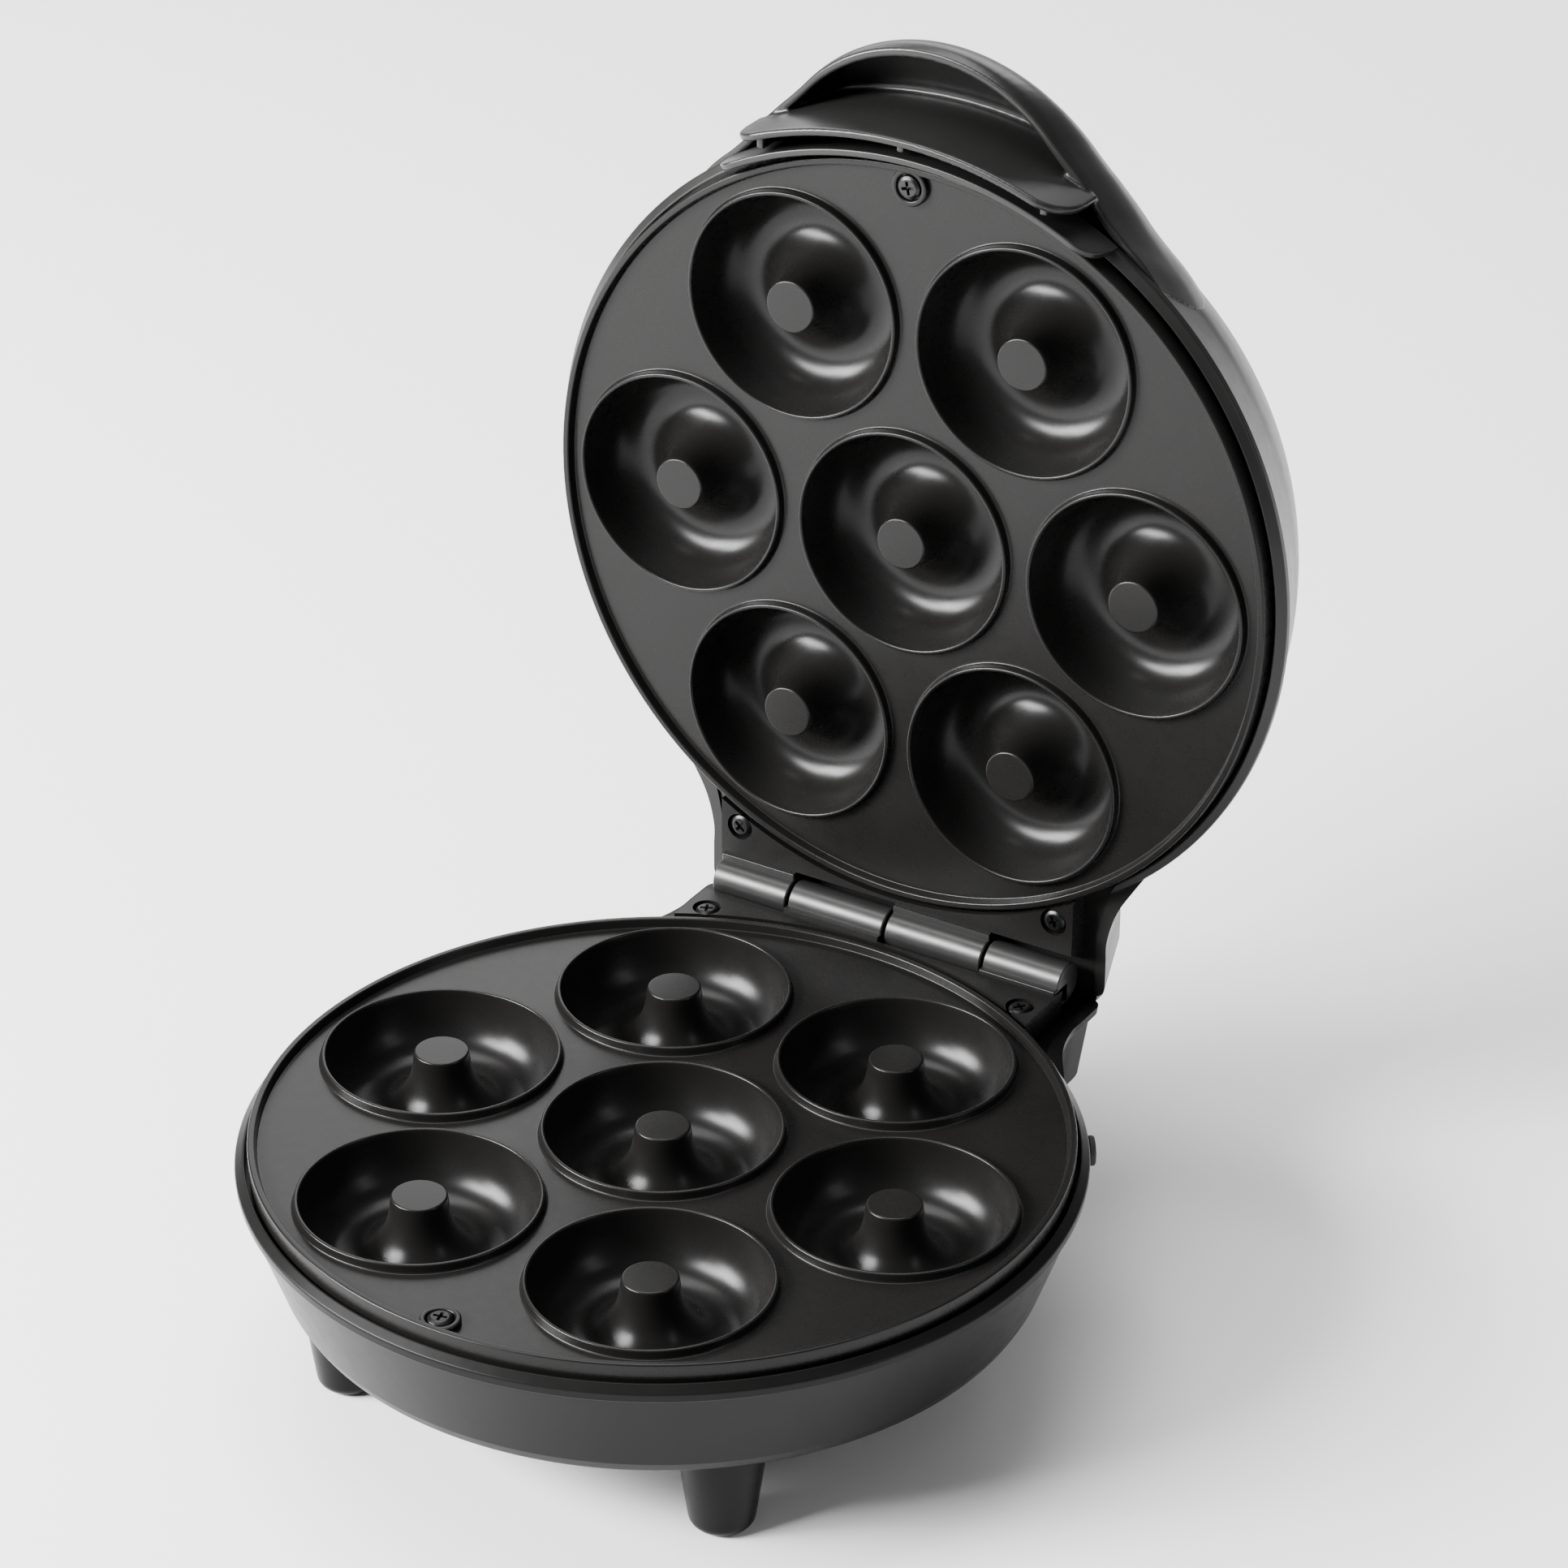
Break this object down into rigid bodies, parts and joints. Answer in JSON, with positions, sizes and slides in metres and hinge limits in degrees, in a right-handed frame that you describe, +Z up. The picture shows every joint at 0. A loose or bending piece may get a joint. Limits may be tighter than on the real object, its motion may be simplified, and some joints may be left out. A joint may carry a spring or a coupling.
{
  "type": "donut maker",
  "caption": "Round tabletop baking machine that opens on a rear hinge, with matching ring-shaped moulds with pegs in both plates, an arched lid handle and short conical feet.",
  "frame": {"origin": "centre of the open machine's footprint box, on the surface it stands on", "axes": "+Z up, -Y towards the user, +Y towards the hinge, X along the hinge; the lid stands open at a right angle at rest"},
  "size_m": [0.2072, 0.2704, 0.2981],
  "materials": {
    "casing": "satin charcoal moulding, fine grain",
    "coated_plate": "die-cast aluminium with a dark grey non-stick coating, satin flats and glossy moulds",
    "dark_screw": "blackened",
    "steel": "bright",
    "reflector": "bright pressed sheet",
    "ceramic": "unglazed",
    "gland_rubber": "matte",
    "wire_sleeve": "braided glass-fibre sleeve",
    "red_lens": "clear tinted",
    "green_lens": "clear tinted",
    "lamp_glass": "clear",
    "board": "printed circuit board"
  },
  "bodies": {
    "base": {"base_casing": "casing", "lower_plate": "coated_plate", "lower_plate_screw_front": "dark_screw", "lower_plate_screw_left": "dark_screw", "lower_plate_screw_right": "dark_screw", "foot_front_left": "casing", "foot_screw_front_left": "steel", "foot_front_right": "casing", "foot_screw_front_right": "steel", "foot_rear_left": "casing", "foot_screw_rear_left": "steel", "foot_rear_right": "casing", "foot_screw_rear_right": "steel", "lower_heating_element": "steel", "lower_heat_reflector": "reflector", "thermostat": "ceramic", "thermal_fuse": "ceramic", "thermal_fuse_clip": "steel", "terminal_block": "ceramic", "cord_gland": "gland_rubber", "cord_clamp": "casing", "base_lead": "wire_sleeve", "hinge_pin": "steel"},
    "lid": {"lid_casing": "casing", "handle": "casing", "handle_screw_left": "steel", "handle_screw_right": "steel", "upper_plate": "coated_plate", "upper_plate_screw_front": "dark_screw", "upper_plate_screw_left": "dark_screw", "upper_plate_screw_right": "dark_screw", "upper_heating_element": "steel", "upper_heat_reflector": "reflector", "power_lens": "red_lens", "ready_lens": "green_lens", "power_lamp": "lamp_glass", "ready_lamp": "lamp_glass", "lamp_board": "board", "lid_lead": "wire_sleeve"}
  },
  "joints": [
    {"name": "lid_hinge", "type": "hinge", "parent": "base", "child": "lid", "pos_m": [0, 0.07844, 0.06052], "axis": [1, 0, 0], "range_deg": [0, 90]}
  ]
}
